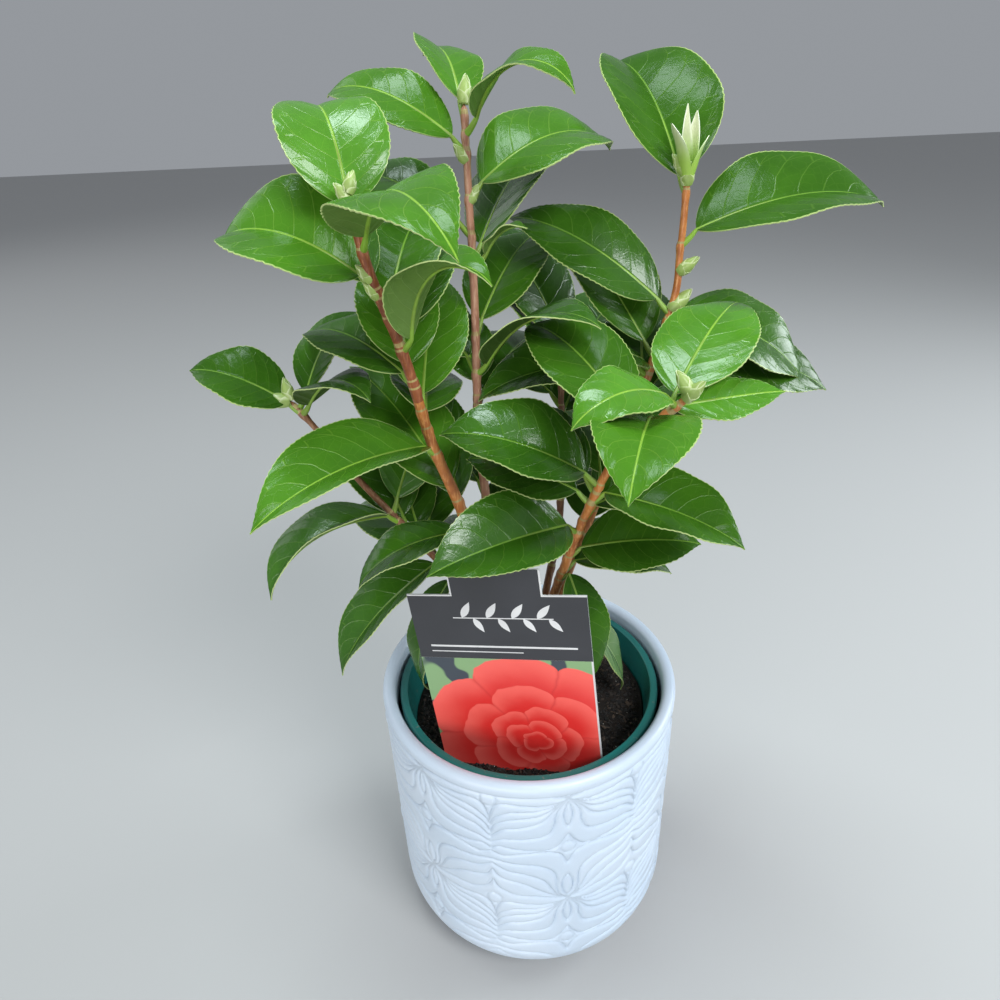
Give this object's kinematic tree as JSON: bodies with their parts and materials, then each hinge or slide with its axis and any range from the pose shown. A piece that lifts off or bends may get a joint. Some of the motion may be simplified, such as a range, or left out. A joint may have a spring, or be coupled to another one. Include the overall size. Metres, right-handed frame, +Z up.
{
  "type": "potted camellia shrub",
  "caption": "Young camellia shrub with glossy leaves on slender stems, in a plastic grow pot set inside a straight-walled ceramic cover pot, with a plant label in the soil.",
  "frame": {"origin": "centre of the cover pot's flat underside, which is what the part stands on", "axes": "+Z up, -Y is the front that faces the camera and carries the label, +X is the right-hand side seen from the front"},
  "size_m": [0.2799, 0.1893, 0.4311],
  "materials": {
    "ceramic": "pale cool white, satin, with a raised line ornament",
    "grow_pot_plastic": "teal green, satin",
    "soil": "dark moist peat, rough",
    "label_card": "charcoal head over a red panel, printed plastic sheet",
    "bark": "young orange-brown bark, rough",
    "leaves": "glossy green leaves"
  },
  "bodies": {
    "root": {"ceramic_pot": "ceramic", "grow_pot": "grow_pot_plastic", "potting_soil": "soil", "plant_label": "label_card", "main_stem": "bark", "left_bough": "bark", "side_bough": "bark", "middle_bough": "bark", "right_bough": "bark", "front_bough": "bark", "back_bough": "bark", "left_low_foliage": "leaves", "left_middle_foliage": "leaves", "left_top_foliage": "leaves", "side_low_foliage": "leaves", "side_top_foliage": "leaves", "middle_low_foliage": "leaves", "middle_top_foliage": "leaves", "right_low_foliage": "leaves", "right_middle_foliage": "leaves", "right_top_foliage": "leaves", "front_low_foliage": "leaves", "front_middle_foliage": "leaves", "front_top_foliage": "leaves", "back_low_foliage": "leaves", "back_top_foliage": "leaves"}
  },
  "joints": []
}
